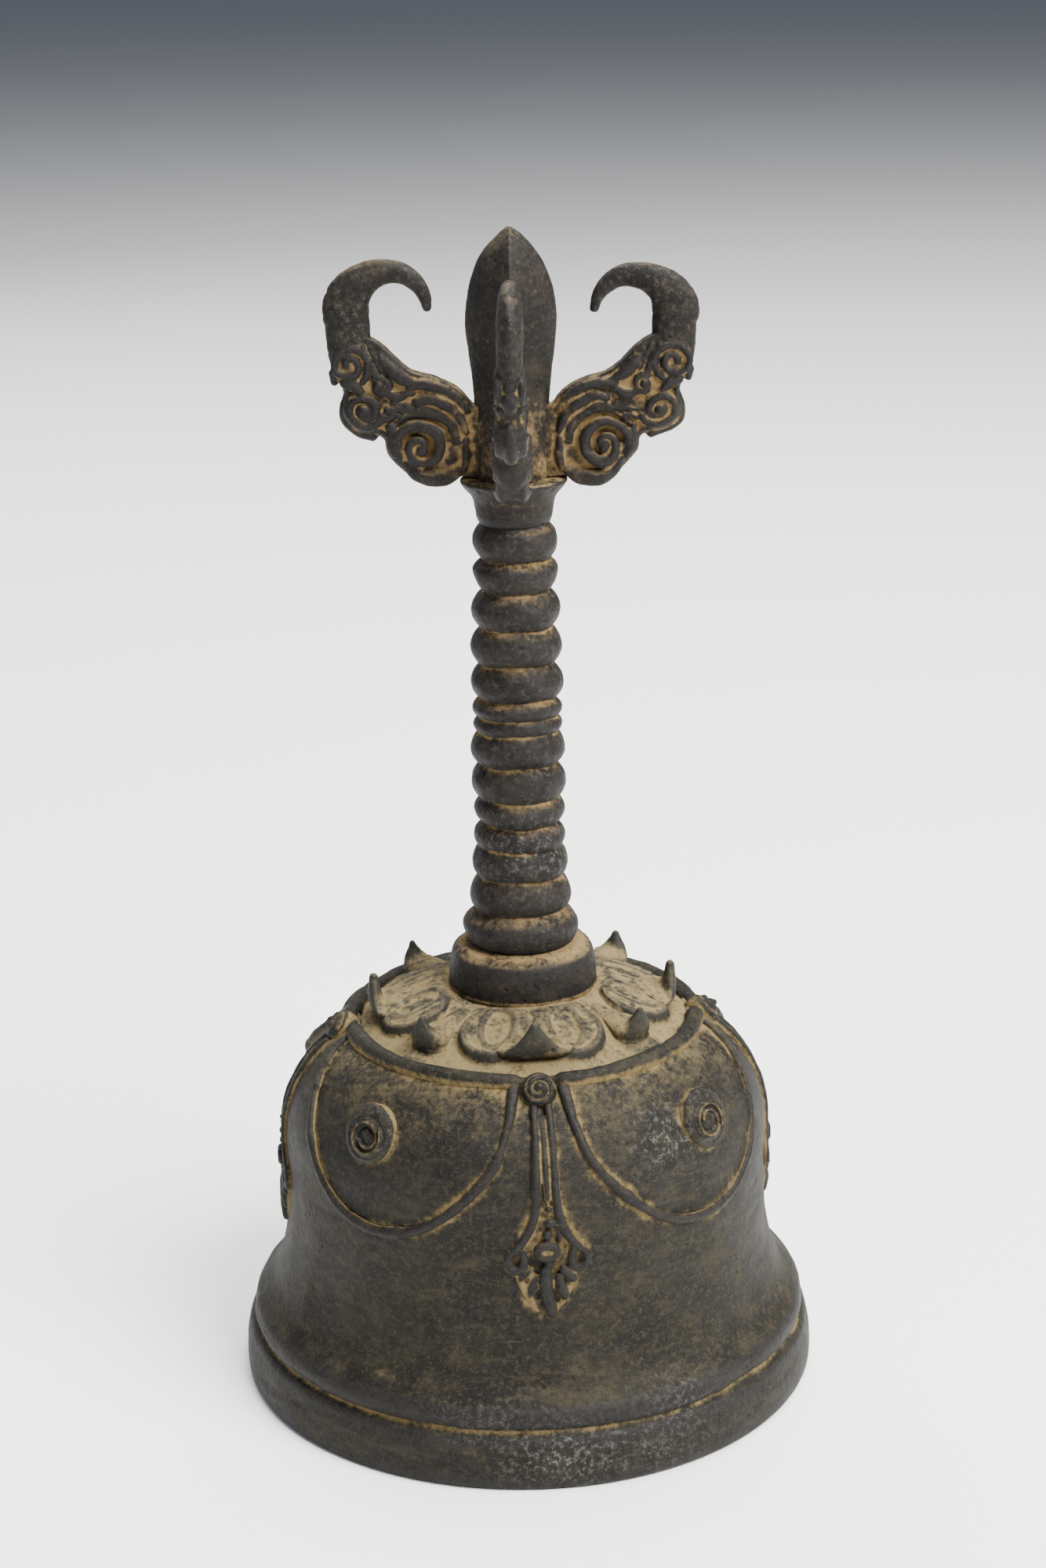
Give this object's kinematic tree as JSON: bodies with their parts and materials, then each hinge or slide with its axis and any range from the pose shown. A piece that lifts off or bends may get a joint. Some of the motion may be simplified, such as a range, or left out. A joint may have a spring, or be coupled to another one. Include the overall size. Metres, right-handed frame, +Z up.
{
  "type": "ritual hand bell",
  "caption": "Ritual hand bell: flared domed cup with garland relief and lotus shoulder, ringed grip, hooked finial, and an iron clapper that swings inside.",
  "frame": {"origin": "centre of the mouth, on the plane that the lip rests on", "axes": "+Z up along the bell's axis to the bud's tip, -Y towards the front pendant and front prong, +X towards the right prong"},
  "size_m": [0.096, 0.096, 0.1903],
  "materials": {
    "cup_bronze": "aged bronze, olive-brown patina with ochre dirt in the recesses",
    "dusty_bronze": "aged bronze under a dry tan dust",
    "handle_bronze": "dark grey bronze, rubbed on the high spots",
    "forged_iron": "dark forged iron with light rust"
  },
  "bodies": {
    "bell": {"bell_cup": "cup_bronze", "shoulder_ring": "cup_bronze", "lotus_petals": "dusty_bronze", "lotus_tips": "dusty_bronze", "swag_cords": "cup_bronze", "spiral_bosses": "cup_bronze", "shoulder_studs": "cup_bronze", "pendant_cords": "cup_bronze", "pendant_beads": "cup_bronze", "pendant_tassels": "cup_bronze", "handle_collar": "handle_bronze", "handle_grip": "handle_bronze", "prong_hub": "handle_bronze", "centre_prong": "handle_bronze", "left_prong": "handle_bronze", "right_prong": "handle_bronze", "front_prong": "handle_bronze", "rear_prong": "handle_bronze", "handle_tang": "forged_iron", "crown_washer": "forged_iron", "clapper_staple": "forged_iron"},
    "link": {"clapper_link": "forged_iron"},
    "clapper": {"clapper_stem": "forged_iron", "clapper_bob": "forged_iron"}
  },
  "joints": [
    {"name": "link_turn", "type": "hinge", "parent": "bell", "child": "link", "pos_m": [0, 0, 0.0523], "axis": [0, 0, 1], "range_deg": [-40, 40]},
    {"name": "clapper_swing", "type": "hinge", "parent": "link", "child": "clapper", "pos_m": [0, 0, 0.048], "axis": [0, 1, 0], "range_deg": [-48.4, 48.4]}
  ]
}
